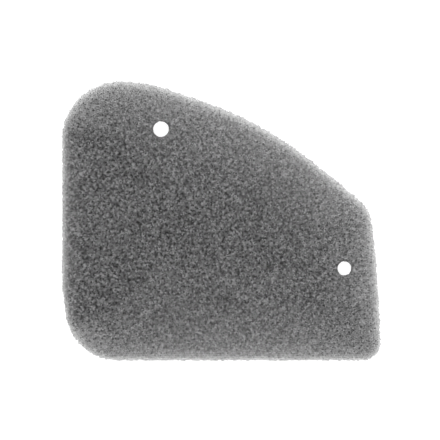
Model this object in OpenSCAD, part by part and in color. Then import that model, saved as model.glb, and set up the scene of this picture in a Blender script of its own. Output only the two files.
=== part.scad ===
// Flat foam air filter element for a small engine's filter box.
// It is one piece, cut from a sheet of open-cell foam, with two holes that slip over locating posts.
// It lies flat: +X to the right, +Y to the back, +Z up through its thickness.
// The origin is under the centre of its outline, on the face that it rests on.

/* [Pad] */
// Width of the pad, left to right
pad_w = 160; // [158:1:164]
// Depth of the pad, front to back
pad_d = 140; // [138:1:142]
// Thickness of the foam sheet that the pad is cut from
pad_t = 15; // [8:1:25]

/* [Corner radii] */
// Front left corner
front_left_r = 26; // [15:1:28]
// Front right corner, the tightest one
front_right_r = 9; // [5:1:12]
// Soft bend halfway up the right side
right_bend_r = 81; // [40:1:90]
// Shoulder, where the slope meets the right side
shoulder_r = 18; // [10:1:20]
// Soft bend halfway along the slope
slope_bend_r = 187; // [100:1:190]
// Where the slope meets the back edge
slope_top_r = 77; // [40:1:78]
// Back left corner, the largest one
back_left_r = 29; // [20:1:30]
// Soft bend low on the left side
left_bend_r = 28; // [20:1:40]

/* [Sides] */
// Lean of the lower right side, in degrees from straight back
right_lean = 3.3; // [2.5:0.1:3.6]
// How far in front of the centre the right side bends
right_bend_y = 20; // [17:1:23]
// How far in from the right edge the shoulder's sharp corner is
shoulder_in = 5.5; // [5:0.5:7]
// How far behind the centre the shoulder's sharp corner is
shoulder_y = 6; // [2:1:8]
// How far right of the centre the slope bends
slope_bend_x = 22; // [20:1:24]
// How far behind the centre the slope bends
slope_bend_y = 49; // [48:1:50]
// How far left of the centre the slope meets the back edge
slope_top_x = 34; // [32:1:35]
// Fall of the back edge, in degrees from straight across
back_fall = 6.2; // [5.9:0.1:6.8]
// How far in front of the centre the left side starts to pull in
left_bend_y = 34; // [32:1:38]
// How far the left side has pulled in at the front edge
left_pull = 5; // [3:0.5:6]

/* [Locating holes] */
// Diameter of the hole near the back edge
back_hole_d = 8; // [6:0.1:10]
// How far right of the centre that hole is
back_hole_x = -30.5; // [-40:0.1:-25]
// How far behind the centre that hole is
back_hole_y = 46.3; // [35:0.1:50]
// Diameter of the hole near the right side
right_hole_d = 7.3; // [6:0.1:10]
// How far right of the centre that hole is
right_hole_x = 62; // [50:0.1:63]
// How far behind the centre that hole is
right_hole_y = -24; // [-40:0.1:-15]

/* [Hidden] */
FOAM_GREY = [0.38, 0.38, 0.38];
ROUND_FN = 128;
// How far the holes are cut past both faces
CUT_PAST = 1;
// Largest turn between two points of a round stretch, in degrees
ARC_STEP = 3;

half_w = pad_w / 2;
half_d = pad_d / 2;

// How far a sharp corner stands outside the pad's box, when its rounding of radius r
// touches the box and its second side leans by a degrees.
function overshoot(r, a) = r * (tan(a) + 1 / cos(a) - 1);

front_right = [half_w + overshoot(front_right_r, right_lean), -half_d];
right_bend = [front_right.x - (half_d - right_bend_y) * tan(right_lean), -right_bend_y];
back_left = [-half_w, half_d + overshoot(back_left_r, back_fall)];
slope_top = [-slope_top_x, back_left.y - (half_w - slope_top_x) * tan(back_fall)];

// The outline's sharp corners in order around it, each as [place, radius].
CORNERS = [
    [[left_pull - half_w, -half_d], front_left_r],
    [front_right, front_right_r],
    [right_bend, right_bend_r],
    [[half_w - shoulder_in, shoulder_y], shoulder_r],
    [[slope_bend_x, slope_bend_y], slope_bend_r],
    [slope_top, slope_top_r],
    [back_left, back_left_r],
    [[-half_w, -left_bend_y], left_bend_r],
];
COUNT = len(CORNERS);

function corner(i) = CORNERS[(i + COUNT) % COUNT][0];
function radius(i) = CORNERS[i][1];
function towards(from, to) = (to - from) / norm(to - from);

// Half the angle inside corner i, between its two sides.
function half_angle(i) =
    acos(towards(corner(i), corner(i - 1)) * towards(corner(i), corner(i + 1))) / 2;

// The centre of corner i's arc, which lies on the line that halves the corner's angle.
function arc_centre(i) =
    let (halfway = towards(corner(i), corner(i - 1)) + towards(corner(i), corner(i + 1)))
    corner(i) + halfway / norm(halfway) * radius(i) / sin(half_angle(i));

// Points along corner i's arc, from the side before the corner to the side after it.
function arc_points(i) =
    let (
        side = towards(corner(i - 1), corner(i)),
        start = atan2(side.y, side.x) - 90,
        turn = 180 - 2 * half_angle(i),
        steps = ceil(turn / ARC_STEP)
    )
    [for (k = [0:steps]) let (a = start + turn * k / steps)
        arc_centre(i) + radius(i) * [cos(a), sin(a)]];

// The pad's outline: straight sides with a round stretch at each corner that meets them smoothly.
module outline() {
    polygon([for (i = [0:COUNT - 1]) each arc_points(i)]);
}

// A straight hole through the whole thickness.
module locating_hole(x, y, d) {
    translate([x, y, -CUT_PAST])
        cylinder(h = pad_t + 2 * CUT_PAST, d = d, $fn = ROUND_FN);
}

// The whole pad: the outline at its full thickness, less the two holes.
module foam_element() {
    color(FOAM_GREY) difference() {
        linear_extrude(pad_t) outline();
        locating_hole(back_hole_x, back_hole_y, back_hole_d);
        locating_hole(right_hole_x, right_hole_y, right_hole_d);
    }
}

foam_element();
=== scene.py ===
"""The looks of a flat foam air filter element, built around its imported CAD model.

The foam is one closed mesh. Its base is a net of triangles over the pad's soft-edged shape, with
one point for each cell of the foam. Every point is pushed in to make the bottom of a cut-open
cell, and every triangle's middle is raised to make the knot where three cell walls meet.
"""

import math

import bpy
import numpy as np
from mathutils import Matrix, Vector
from mathutils.geometry import delaunay_2d_cdt


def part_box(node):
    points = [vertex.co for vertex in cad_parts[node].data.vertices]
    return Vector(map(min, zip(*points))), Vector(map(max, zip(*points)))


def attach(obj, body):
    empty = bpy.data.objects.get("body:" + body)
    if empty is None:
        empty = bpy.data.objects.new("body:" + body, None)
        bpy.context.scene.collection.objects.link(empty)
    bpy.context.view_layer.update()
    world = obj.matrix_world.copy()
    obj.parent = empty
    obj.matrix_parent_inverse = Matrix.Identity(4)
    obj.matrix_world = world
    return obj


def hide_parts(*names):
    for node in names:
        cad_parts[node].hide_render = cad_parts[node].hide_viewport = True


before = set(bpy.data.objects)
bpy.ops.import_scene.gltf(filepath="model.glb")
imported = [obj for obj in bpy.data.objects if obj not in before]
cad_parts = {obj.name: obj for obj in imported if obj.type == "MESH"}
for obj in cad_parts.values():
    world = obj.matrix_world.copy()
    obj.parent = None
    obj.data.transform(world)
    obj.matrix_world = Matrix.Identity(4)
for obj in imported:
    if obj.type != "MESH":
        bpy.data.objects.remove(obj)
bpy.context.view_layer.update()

MM = 0.001
NODE = "foam_element"
SEED = 11

# The foam's cells.
CELL = 1.28 * MM  # from one cell's middle to the next
SCATTER = 0.3  # how far a wall's cell strays from its even place, in cells
EDGE_GAP = 0.6  # how near to a face's edge its scattered cells may be, in cells
RELAX_TIMES = 4  # how often a face's scattered cells are evened out
RELAX_SHARE = 0.7  # how far each then goes towards the middle of its neighbours
SLIVER = 0.005  # twice the area, in square cells, under which a triangle is a sliver
PORE_DEPTH = 0.55 * MM
PORE_SPREAD = 0.4  # the spread of the depth's logarithm
PORE_DEPTH_MAX = 1.4 * MM
UNLIKE = 1.0  # how much a cell's size goes against the mean of its neighbours'
KNOT_UP = 0.12 * MM
KNOT_SPREAD = 0.1 * MM
STRAND = 0.4 * MM  # how far the cut strands stand out of the outer wall, on average
STRAND_MAX = 1.4 * MM

# The sheet's slow unevenness.
SWELL = 0.06 * MM
SWELL_WAVES = 14
SWELL_LENGTHS = (15 * MM, 60 * MM)

# The edges: how far in the rounding starts, how far down it ends, how far the wall pulls in at half
# its height, and how far inside the CAD wall the cells' middles lie.
PAD_EDGE = {"round_in": 4.2 * MM, "round_down": 3 * MM, "waist": 0.4 * MM, "sunk": 0.4 * MM}
HOLE_EDGE = {"round_in": 0.6 * MM, "round_down": 0.5 * MM, "waist": 0, "sunk": 0.2 * MM}
ROUNDING_POINTS = 40
SECTION_POINTS = 400

# The tones, from 0, dark, to 1, pale. A large cell is deep and dark, and a knot takes on a share of
# the tone of the cells round it. The cell bottoms being darker than the knots is painted shade in the
# pits; the random spreads are the foam's own uneven grain.
CELL_TONE, CELL_TONE_BY_SIZE, CELL_TONE_SPREAD = 0.42, 0.18, 0.1
KNOT_TONE, KNOT_TONE_SHARE, KNOT_TONE_SPREAD = 0.45, 0.3, 0.19
HOLE_SHADE = 0.2  # how much darker in tone the holes' walls are

# The greys: each as its tone and grey, then the darkest and palest greys of the painted edge light.
GREYS = ((0, 0.02), (0.35, 0.065), (0.65, 0.14), (1, 0.27))
EDGE_LIGHT_GREYS = (0.29, 0.51)
BLUER = 1.01  # the greys' blue, as a share of their red and green

# The pale edge is painted light: the foam's edges are paler, as if light came through them. These set
# how far the foam fades towards the pale greys at the outline, and how far in that reaches. A narrow
# rim goes all round, a little weaker along the front. A wide one is weak along the left side, and a
# little stronger towards the back.
RIM_LIGHT, FRONT_RIM_LIGHT, RIM_REACH = 0.75, 0.6, 2.0 * MM
WIDE_LIGHT, LEFT_WIDE_LIGHT, BACK_WIDE_LIGHT, WIDE_REACH = 0.42, 0.06, 0.1, 17 * MM
ONE_SIDE = (-0.99, -0.85)  # the outward direction along one axis, where that side is and isn't
WALL_SHARE = 0.25  # how much of the painted edge light is left at half the wall's height
WALL_RISE = (0.25, 0.75)  # where it starts to grow and is whole, from half the height to a face
STRAND_TIP_LIGHT = (0.4 * MM, 1.3 * MM)  # from which length a strand's tip turns pale with painted light, and is wholly pale
SHALLOWER = 0.3  # how much of its depth a cell loses where the painted edge light is strongest

# The surface's fine detail. Lines run round the smallest cells, with one tone added on the line and
# another inside. Specks and patches add and take away tone.
LINE_CELL, LINE_WIDTH, LINE_TONES = 1.0 * MM, 0.25, (0.08, -0.03)
SPECK, SPECK_TONES = 1.6 * MM, (-0.04, 0.04)
PATCH, PATCH_TONES = 22 * MM, (-0.02, 0.02)
NOISE_RANGE = (0.25, 0.75)  # where nearly all of a noise's values are
ROUGHNESS = (0.98, 0.75)  # of the darkest tone and of the palest
BUMP_STRENGTH, BUMP_DEPTH = 0.5, 0.15 * MM
GLOSS = 0.1
SOFTNESS, SOFT_DEPTH = 0.7, 2.5 * MM  # how much light goes in and comes out again, and how far off

# The gap between the pieces of the flattened skin.
UV_GAP = 2 * MM

# The room. The walls' light fades with height, on a sphere of radius 1: where that starts and ends,
# then the strength below and above.
ROOM = (0.1, 0.6, 1.6, 0.97)
BACK_LIGHT = {"place": (0.0, 0.9, 0.9), "size": 0.8, "power": 4}
FLOOR_HALF = 12.0
FLOOR_GREY, FLOOR_ROUGHNESS, FLOOR_GLOW = 0.3, 0.9, 1.0
WHITE = (1, 1, 1, 1)

# The camera looks straight down. The pad's middle lies this far right of and below the picture's.
CAMERA_UP = 3.0
CAMERA_SEES = 221.4 * MM
CAMERA_OFF = (-0.75 * MM, 0.42 * MM)
CAMERA_CLIP = (0.1, 100)
SENSOR = 36  # in millimetres, as Blender's camera has it

# Numbers of the working.
SAME = 0.01 * MM  # heights this close are the same
DIGITS = 6  # to which places are rounded, in metres, before equal ones are joined
EPSILON = 1e-6
PARTS = 200  # in which the distances to the outline are worked out, to save memory


def top_loops():
    """The loops round the CAD pad's top face, longest first, with the foam on their left."""
    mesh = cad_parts[NODE].data
    places = np.array([v.co for v in mesh.vertices]).round(DIGITS)
    points, weld = np.unique(places, axis=0, return_inverse=True)
    weld = weld.ravel()
    on_top = points[:, 2] > points[:, 2].max() - SAME
    edges = set()
    for polygon in mesh.polygons:
        corners = [int(weld[i]) for i in polygon.vertices]
        if all(on_top[i] for i in corners):
            edges |= set(zip(corners, corners[1:] + corners[:1]))
    follow = {a: b for a, b in edges if (b, a) not in edges}
    loops = []
    while follow:
        start, at = follow.popitem()
        loop = [start]
        while at != start:
            loop.append(at)
            at = follow.pop(at)
        loops.append(points[loop, :2])
    return sorted(loops, key=lambda p: -np.ptp(p[:, 0]))


class Loop:
    """A closed loop of points that can be read at any distance along it."""

    def __init__(self, points):
        self.closed = np.vstack([points, points[:1]])
        steps = np.linalg.norm(np.diff(self.closed, axis=0), axis=1)
        self.along = np.concatenate([[0], np.cumsum(steps)])
        self.length = self.along[-1]

    def at(self, distance):
        turn = distance % self.length
        return np.stack([np.interp(turn, self.along, self.closed[:, k]) for k in (0, 1)], -1)

    def outward(self, distance):
        """The direction out of the foam, averaged over about two cells."""
        tangent = self.at(distance + CELL) - self.at(distance - CELL)
        tangent /= np.linalg.norm(tangent, axis=-1, keepdims=True)
        return np.stack([tangent[..., 1], -tangent[..., 0]], -1)


def distances_along(a, b):
    """How far along a line each of its points is, from their two coordinates."""
    return np.concatenate([[0], np.cumsum(np.hypot(np.diff(a), np.diff(b)))])


def edge_section(thick, round_in, round_down, waist, sunk):
    """An edge's section from the top face to the lower one: distance along, how far in, height.

    The rounding is a quarter of an ellipse, and the wall's pulled-in waist is a parabola.
    """
    turn = np.linspace(0, math.pi / 2, ROUNDING_POINTS)
    inset = round_in * (1 - np.sin(turn))
    height = thick - round_down * (1 - np.cos(turn))
    inset = np.concatenate([inset, inset[::-1]])
    height = np.concatenate([height, thick - height[::-1]])
    along = distances_along(inset, height)
    fine = np.linspace(0, along[-1], SECTION_POINTS)
    inset, height = np.interp(fine, along, inset), np.interp(fine, along, height)
    inset += waist * (1 - (2 * height / thick - 1) ** 2)
    inset += sunk - inset.min()
    return distances_along(inset, height), inset, height


def wall_net(points, thick, edge, rng):
    """A net of cells over a wall, as rings of points from the top face to the lower one.

    uv is each point's distance round the wall and down it.
    """
    loop = Loop(points)
    along, inset, height = edge_section(thick, **edge)
    count = round(loop.length / CELL)
    rows = round(along[-1] / (CELL * math.sqrt(3) / 2))
    row, column = np.mgrid[0:rows + 1, 0:count]
    stray = rng.uniform(-SCATTER, SCATTER, (2, *row.shape))
    stray[1, [0, -1]] = 0
    u = (column + 0.5 * (row % 2) + stray[0]) * loop.length / count
    v = (row + stray[1]) * along[-1] / rows
    outward = loop.outward(u)
    place = loop.at(u) - outward * np.interp(v, along, inset)[..., None]
    place = np.concatenate([place, np.interp(v, along, height)[..., None]], -1)
    index = row * count + column
    beside = np.roll(index, -1, axis=1)
    even = row[:-1].ravel() % 2 == 0
    a, b, c, d = (g.ravel() for g in (index[:-1], beside[:-1], index[1:], beside[1:]))
    triangles = [
        np.stack([a, c, b], 1)[even], np.stack([b, c, d], 1)[even],
        np.stack([a, d, b], 1)[~even], np.stack([a, c, d], 1)[~even],
    ]
    return {
        "place": place.reshape(-1, 3),
        "outward": outward.reshape(-1, 2),
        "uv": np.stack([u.ravel(), v.ravel()], 1),
        "around": loop.length,
        "down": along[-1],
        "first": index[0],
        "last": index[-1],
        "triangles": np.concatenate(triangles),
    }


def inside(points, ring):
    """Which points lie inside a closed ring."""
    a, b = ring, np.roll(ring, -1, axis=0)
    x, y = points[:, :1], points[:, 1:2]
    crosses = (a[:, 1] > y) != (b[:, 1] > y)
    rise = np.where(b[:, 1] == a[:, 1], 1, b[:, 1] - a[:, 1])
    left = x < a[:, 0] + (y - a[:, 1]) * (b[:, 0] - a[:, 0]) / rise
    return (crosses & left).sum(1) % 2 == 1


def in_face(points, rings):
    """Which points lie inside a face's first ring and outside the others, which are its holes."""
    holes = [inside(points, ring) for ring in rings[1:]]
    return inside(points, rings[0]) & ~np.any(holes, axis=0)


def joined(points, rings):
    """The triangles that join a face's points, seen from above with their corners anticlockwise."""
    edges, start = [], 0
    for ring in rings:
        around = np.arange(len(ring))
        edges += (start + np.stack([around, np.roll(around, -1)], 1)).tolist()
        start += len(ring)
    made = delaunay_2d_cdt([Vector(p / MM) for p in points], edges, [], 0, EPSILON)
    triangles = np.array(made[2])
    p, q, r = (points[triangles[:, k]] for k in range(3))
    twice_area = np.cross(q - p, r - p)
    triangles[twice_area < 0] = triangles[twice_area < 0][:, ::-1]
    # A sliver along a straight side lies on the ring itself, so it isn't kept.
    whole = np.abs(twice_area) > SLIVER * CELL ** 2
    return triangles[whole & in_face(points[triangles].mean(1), rings)]


def neighbours_mean(values, triangles):
    """For each point of a net, the mean of a value or place at the points that it is joined to."""
    total, count = np.zeros_like(values), np.zeros(len(values))
    for k in range(3):
        np.add.at(total, triangles[:, k], values[triangles[:, k - 1]])
        np.add.at(count, triangles[:, k], 1)
    return (total.T / count).T


def face_net(rings, rng):
    """A net of cells over a flat face between its rings: the new points, and all triangles."""
    edge = np.concatenate(rings)
    side = CELL * math.sqrt(math.sqrt(3) / 2)
    low, high = edge.min(0), edge.max(0)
    count = np.ceil((high - low) / side).astype(int)
    grid = np.stack(np.meshgrid(*map(np.arange, count), indexing="ij"), -1).reshape(-1, 2)
    inner = low + (grid + rng.random(grid.shape)) * side
    inner = inner[in_face(inner, rings)]
    square_gap = np.array([np.min(((edge - p) ** 2).sum(1)) for p in inner])
    inner = inner[square_gap > (EDGE_GAP * CELL) ** 2]
    for _ in range(RELAX_TIMES):
        points = np.concatenate([edge, inner])
        middle = neighbours_mean(points, joined(points, rings))[len(edge):]
        inner = inner + RELAX_SHARE * (middle - inner)
    return inner, joined(np.concatenate([edge, inner]), rings)


def base_net(loops, thick, rng):
    """The whole pad's net: a wall round each loop, and two faces that use the walls' end rings."""
    walls = [
        wall_net(loop, thick, PAD_EDGE if i == 0 else HOLE_EDGE, rng)
        for i, loop in enumerate(loops)
    ]
    places, triangles, start = [], [], 0
    for wall in walls:
        wall["start"] = start
        places.append(wall["place"])
        triangles.append(wall["triangles"] + start)
        start += len(wall["place"])
    for ring_name, height, flip in (("first", thick, False), ("last", 0, True)):
        rings = [w["place"][w[ring_name], :2] for w in walls]
        ring_index = np.concatenate([w[ring_name] + w["start"] for w in walls])
        inner, net = face_net(rings, rng)
        index = np.concatenate([ring_index, start + np.arange(len(inner))])
        triangles.append(index[net][:, ::-1] if flip else index[net])
        places.append(np.column_stack([inner, np.full(len(inner), height)]))
        start += len(inner)
    return np.concatenate(places), np.concatenate(triangles), walls


def outward_directions(places, triangles):
    """The direction out of the foam at each point of the net, and at each triangle."""
    p, q, r = (places[triangles[:, k]] for k in range(3))
    flat = np.cross(q - p, r - p)
    at_points = np.zeros_like(places)
    for k in range(3):
        np.add.at(at_points, triangles[:, k], flat)
    return [n / np.linalg.norm(n, axis=1, keepdims=True) for n in (at_points, flat)]


def swell(places, rng):
    """A slow wave over the sheet."""
    total = np.zeros(len(places))
    for _ in range(SWELL_WAVES):
        direction = rng.normal(size=3)
        direction *= 2 * math.pi / rng.uniform(*SWELL_LENGTHS) / np.linalg.norm(direction)
        total += np.sin(places @ direction + rng.uniform(0, 2 * math.pi))
    return total * SWELL / math.sqrt(SWELL_WAVES)


def opposite(triangles, count):
    """For each side of each triangle, the triangle across that side."""
    start, end = triangles.ravel(), np.roll(triangles, -1, axis=1).ravel()
    key, other = start * count + end, end * count + start
    order = np.argsort(key)
    return order[np.searchsorted(key[order], other)] // 3


def cut_open(places, triangles, walls, thick, rng):
    """The foam's points: every cell's bottom, then every knot. Also each cell's size, as how many
    spreads it is over the mean, and the length of the strand at each knot.
    """
    at_points, at_triangles = outward_directions(places, triangles)
    places = places + at_points * swell(places, rng)[:, None]

    size = rng.normal(size=len(places))
    size -= UNLIKE * neighbours_mean(size, triangles)
    depth = np.minimum(PORE_DEPTH * np.exp(PORE_SPREAD * size), PORE_DEPTH_MAX)
    # Cells are shallower where the edge is painted pale as if lit through.
    depth *= 1 - SHALLOWER * painted_edge_light(places, 0, walls[0], thick)
    pores = places - at_points * depth[:, None]

    up = KNOT_UP + KNOT_SPREAD * rng.normal(size=len(triangles))
    strand = np.minimum(rng.exponential(STRAND, len(triangles)), STRAND_MAX)
    strand *= 1 - np.abs(at_triangles[:, 2])
    strand[(triangles >= len(walls[0]["place"])).any(1)] = 0
    knots = places[triangles].mean(1) + at_triangles * (up + strand)[:, None]

    points = np.concatenate([pores, knots])
    points[:, 2] = np.maximum(points[:, 2], 0)
    return points, size, strand


def painted_edge_light(points, strand, wall, thick):
    """How much painted edge light each point has, from 0 to 1: how far the foam's grey has faded to
    the pale edge's.

    strand is how far each point stands out as a strand's tip, and wall is the outer wall's net.
    """
    halfway = np.abs(wall["place"][:, 2] - thick / 2) < CELL / 2
    outline, outward = wall["place"][halfway, :2], wall["outward"][halfway]
    gap, way_out = [], []
    for part in np.array_split(points, PARTS):
        square = ((part[:, None, :2] - outline) ** 2).sum(2)
        gap.append(np.sqrt(square.min(1)))
        way_out.append(outward[square.argmin(1)])
    gap, way_out = np.concatenate(gap), np.concatenate(way_out)
    rim = np.interp(way_out[:, 1], ONE_SIDE, (FRONT_RIM_LIGHT, RIM_LIGHT))
    wide = np.interp(way_out[:, 0], ONE_SIDE, (LEFT_WIDE_LIGHT, WIDE_LIGHT))
    wide += BACK_WIDE_LIGHT * np.maximum(way_out[:, 1], 0)
    # Painted light: paler near the outline, as if lit through the edges, a little more towards the
    # back.
    edge_light_share = rim * np.exp(-gap / RIM_REACH) + wide * np.exp(-gap / WIDE_REACH)
    from_half = np.abs(2 * points[:, 2] / thick - 1)
    edge_light_share = np.minimum(edge_light_share, 1) * np.interp(from_half, WALL_RISE, (WALL_SHARE, 1))
    # Strand tips standing out of the outer wall are painted pale too, as if lit through.
    return edge_light_share + (1 - edge_light_share) * np.interp(strand, STRAND_TIP_LIGHT, (0, 1))


def tones_with_painted_shade(size, triangles, walls, rng):
    """The tone of each cell's bottom and then of each knot."""
    # Deep cells get a darker tone and knots a paler one: painted shade in the pits, plus random
    # grain.
    cell = CELL_TONE - CELL_TONE_BY_SIZE * size + CELL_TONE_SPREAD * rng.laplace(size=len(size))
    knot = KNOT_TONE_SHARE * cell[triangles].mean(1) + KNOT_TONE
    knot += KNOT_TONE_SPREAD * rng.laplace(size=len(triangles))
    for wall in walls[1:]:
        in_hole = wall["start"] + np.arange(wall["last"][0])
        cell[in_hole[len(wall["first"]):]] -= HOLE_SHADE
        knot[np.isin(triangles, in_hole).all(1)] -= HOLE_SHADE
    return np.clip(np.concatenate([cell, knot]), 0, 1)


def faces_over(triangles, count):
    """The mesh's faces: one for each side of each triangle of the net.

    Each joins the cell where that side starts to the knots across the side and on this side of it.
    """
    here = count + np.repeat(np.arange(len(triangles)), 3)
    across = count + opposite(triangles, count)
    return np.stack([triangles.ravel(), across, here], 1)


def add_attribute(mesh, name, kind, domain, values):
    mesh.attributes.new(name, kind, domain).data.foreach_set("value", values)


def foam_mesh():
    """The whole foam, with the tone and painted shade and the painted edge light that its material
    reads.
    """
    rng = np.random.default_rng(SEED)
    low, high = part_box(NODE)
    thick = high.z - low.z
    places, triangles, walls = base_net(top_loops(), thick, rng)
    count = len(places)
    points, size, strand = cut_open(places, triangles, walls, thick, rng)
    faces = faces_over(triangles, count)

    mesh = bpy.data.meshes.new("foam_cells")
    mesh.from_pydata(points.tolist(), [], faces.tolist())
    mesh.polygons.foreach_set("use_smooth", np.ones(len(faces), bool))
    # The ridges between two knots are the sharp rims of the cut cells.
    ends = np.zeros(len(mesh.edges) * 2, np.int32)
    mesh.edges.foreach_get("vertices", ends)
    ridge = (ends.reshape(-1, 2) >= count).all(1)
    add_attribute(mesh, "sharp_edge", "BOOLEAN", "EDGE", ridge)
    # The tone holds the foam's grain, and painted shade in the pits and on the holes' walls.
    add_attribute(mesh, "tone", "FLOAT", "POINT", tones_with_painted_shade(size, triangles, walls, rng))
    length = np.concatenate([np.zeros(count), strand])
    # The share of painted edge light at each point.
    add_attribute(mesh, "edge_light_share", "FLOAT", "POINT", painted_edge_light(points, length, walls[0], thick))
    lay_flat(mesh, points, faces, triangles, walls, low, high)
    mesh.update()
    return mesh


def unrolled(wall, faces, triangles, count):
    """Which mesh faces lie on a wall, and their corners' distances round the wall and down it."""
    start, end = wall["start"], wall["start"] + len(wall["place"])
    owner = faces[:, 0]
    own = (owner >= start) & (owner < end)
    own &= ~np.isin(owner, np.concatenate([wall["first"], wall["last"]]) + start)
    at = np.zeros((count, 2))
    at[start:end] = wall["uv"]
    knot_corners = triangles[faces[own][:, 1:] - count]
    base = at[owner[own]]
    away = at[knot_corners] - base[:, None, None]
    half = wall["around"] / 2
    away[..., 0] = (away[..., 0] + half) % wall["around"] - half
    return own, np.concatenate([base[:, None], base[:, None] + away.mean(2)], 1)


def lay_flat(mesh, points, faces, triangles, walls, low, high):
    """The skin's flat layout: the two faces side by side, with the walls in strips over them."""
    corner = points[faces]
    wide, deep = high.x - low.x + UV_GAP, high.y - low.y + UV_GAP
    top = np.stack([high.y - corner[..., 1], corner[..., 0] - low.x], -1)
    under = np.stack([corner[..., 1] - low.y + deep, corner[..., 0] - low.x], -1)
    facing_up = corner[:, 0, 2] > (low.z + high.z) / 2
    uv = np.where(facing_up[:, None, None], top, under)
    above, right = wide, 0
    for wall in walls:
        own, place = unrolled(wall, faces, triangles, triangles.max() + 1)
        strips = 2 if wall["around"] > wide else 1
        strip = np.floor(place[:, 0, 0] / wall["around"] * strips).clip(0, strips - 1)
        place[..., 0] -= (strip * wall["around"] / strips)[:, None]
        step = wall["down"] + UV_GAP
        place[..., 1] = above + strip[:, None] * step + wall["down"] - place[..., 1]
        place[..., 0] += right + UV_GAP
        uv[own] = place
        if strips > 1:
            above += strips * step
        else:
            right += wall["around"] + UV_GAP * 2
    layer = mesh.uv_layers.new(name="OFBake")
    layer.data.foreach_set("uv", (uv / (2 * deep + UV_GAP)).astype(np.float32).ravel())


def set_range(node, low, high, to_low, to_high):
    """Fill in a Map Range node."""
    numbers = {"From Min": low, "From Max": high, "To Min": to_low, "To Max": to_high}
    for name, number in numbers.items():
        node.inputs[name].default_value = number


def foam_material():
    """Grey by tone, faded to pale greys at the edge as painted light, with detail finer than the
    mesh.
    """
    material = bpy.data.materials.new("open_cell_foam")
    material.use_nodes = True
    tree = material.node_tree
    nodes, link = tree.nodes, tree.links.new
    shader = nodes["Principled BSDF"]
    place = nodes.new("ShaderNodeTexCoord").outputs["Object"]

    def attribute(name):
        node = nodes.new("ShaderNodeAttribute")
        node.attribute_name = name
        return node.outputs["Fac"]

    def ranged(value, *numbers):
        node = nodes.new("ShaderNodeMapRange")
        set_range(node, *numbers)
        link(value, node.inputs["Value"])
        return node.outputs[0]

    def noise(length, detail):
        node = nodes.new("ShaderNodeTexNoise")
        node.inputs["Scale"].default_value = 1 / length
        node.inputs["Detail"].default_value = detail
        link(place, node.inputs["Vector"])
        return node.outputs["Fac"]

    def plus(a, b):
        node = nodes.new("ShaderNodeMath")
        link(a, node.inputs[0])
        link(b, node.inputs[1])
        return node.outputs[0]

    cells = nodes.new("ShaderNodeTexVoronoi")
    cells.feature = "DISTANCE_TO_EDGE"
    cells.inputs["Scale"].default_value = 1 / LINE_CELL
    link(place, cells.inputs["Vector"])
    line = ranged(cells.outputs["Distance"], 0, LINE_WIDTH, *LINE_TONES)
    speck = ranged(noise(SPECK, 0), *NOISE_RANGE, *SPECK_TONES)
    patch = ranged(noise(PATCH, 1), *NOISE_RANGE, *PATCH_TONES)
    shade = plus(plus(attribute("tone"), line), plus(speck, patch))

    ramp = nodes.new("ShaderNodeValToRGB")
    for at, _ in GREYS[1:-1]:
        ramp.color_ramp.elements.new(at)
    for stop, (at, grey) in zip(ramp.color_ramp.elements, GREYS):
        stop.position = at
        stop.color = (grey, grey, grey * BLUER, 1)
    link(shade, ramp.inputs["Fac"])

    # Painted light: the foam's colour fades to pale greys towards its edges.
    edge_light_mix = nodes.new("ShaderNodeMixRGB")
    link(attribute("edge_light_share"), edge_light_mix.inputs["Fac"])
    link(ramp.outputs["Color"], edge_light_mix.inputs["Color1"])
    link(ranged(shade, 0, 1, *EDGE_LIGHT_GREYS), edge_light_mix.inputs["Color2"])
    link(edge_light_mix.outputs["Color"], shader.inputs["Base Color"])

    link(ranged(shade, 0, 1, *ROUGHNESS), shader.inputs["Roughness"])
    bump = nodes.new("ShaderNodeBump")
    bump.inputs["Strength"].default_value = BUMP_STRENGTH
    bump.inputs["Distance"].default_value = BUMP_DEPTH
    link(plus(line, speck), bump.inputs["Height"])
    link(bump.outputs["Normal"], shader.inputs["Normal"])
    shader.inputs["Specular IOR Level"].default_value = GLOSS
    shader.inputs["Subsurface Weight"].default_value = SOFTNESS
    shader.inputs["Subsurface Radius"].default_value = (1, 1, 1)
    shader.inputs["Subsurface Scale"].default_value = SOFT_DEPTH
    return material


def build_foam():
    foam = bpy.data.objects.new("foam_pad", foam_mesh())
    bpy.context.collection.objects.link(foam)
    foam.data.materials.append(foam_material())
    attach(foam, "root")
    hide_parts(NODE)
    return foam


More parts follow.
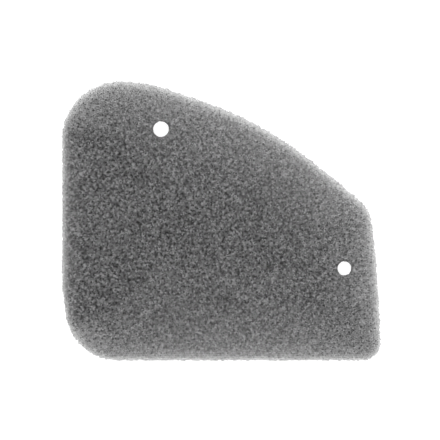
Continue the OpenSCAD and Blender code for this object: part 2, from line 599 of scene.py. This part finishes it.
def build_floor():
    """A floor that glows, so that it stays plain white."""
    corners = [
        (x * FLOOR_HALF, y * FLOOR_HALF, 0)
        for x, y in ((-1, -1), (1, -1), (1, 1), (-1, 1))
    ]
    mesh = bpy.data.meshes.new("floor")
    mesh.from_pydata(corners, [], [(0, 1, 2, 3)])
    floor = bpy.data.objects.new("floor", mesh)
    bpy.context.collection.objects.link(floor)
    material = bpy.data.materials.new("white_floor")
    material.use_nodes = True
    shader = material.node_tree.nodes["Principled BSDF"]
    shader.inputs["Base Color"].default_value = (FLOOR_GREY, FLOOR_GREY, FLOOR_GREY, 1)
    shader.inputs["Roughness"].default_value = FLOOR_ROUGHNESS
    shader.inputs["Emission Color"].default_value = WHITE
    shader.inputs["Emission Strength"].default_value = FLOOR_GLOW
    mesh.materials.append(material)


def soft_light(name, place, size, power):
    """A square lamp that faces the pad."""
    data = bpy.data.lights.new(name, "AREA")
    data.size = size
    data.energy = power
    lamp = bpy.data.objects.new(name, data)
    lamp.location = place
    lamp.rotation_euler = (-Vector(place)).to_track_quat("-Z", "Y").to_euler()
    bpy.context.collection.objects.link(lamp)


def light_studio():
    """White walls all round, brighter than the ceiling, and a weak lamp at the back."""
    world = bpy.data.worlds.new("white_room")
    world.use_nodes = True
    nodes, link = world.node_tree.nodes, world.node_tree.links.new
    apart = nodes.new("ShaderNodeSeparateXYZ")
    link(nodes.new("ShaderNodeTexCoord").outputs["Generated"], apart.inputs[0])
    rise = nodes.new("ShaderNodeMapRange")
    rise.interpolation_type = "SMOOTHSTEP"
    set_range(rise, *ROOM)
    link(apart.outputs["Z"], rise.inputs["Value"])
    link(rise.outputs[0], nodes["Background"].inputs["Strength"])
    nodes["Background"].inputs["Color"].default_value = WHITE
    bpy.context.scene.world = world
    bpy.context.scene.view_settings.view_transform = "Standard"
    soft_light("back_light", **BACK_LIGHT)


def place_camera():
    low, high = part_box(NODE)
    data = bpy.data.cameras.new("camera")
    data.sensor_width = SENSOR
    data.lens = SENSOR * (CAMERA_UP - high.z) / CAMERA_SEES
    data.clip_start, data.clip_end = CAMERA_CLIP
    camera = bpy.data.objects.new("camera", data)
    middle = (low + high) / 2
    camera.location = (middle.x + CAMERA_OFF[0], middle.y + CAMERA_OFF[1], CAMERA_UP)
    bpy.context.collection.objects.link(camera)
    bpy.context.scene.camera = camera


place_camera()
light_studio()
build_floor()
build_foam()
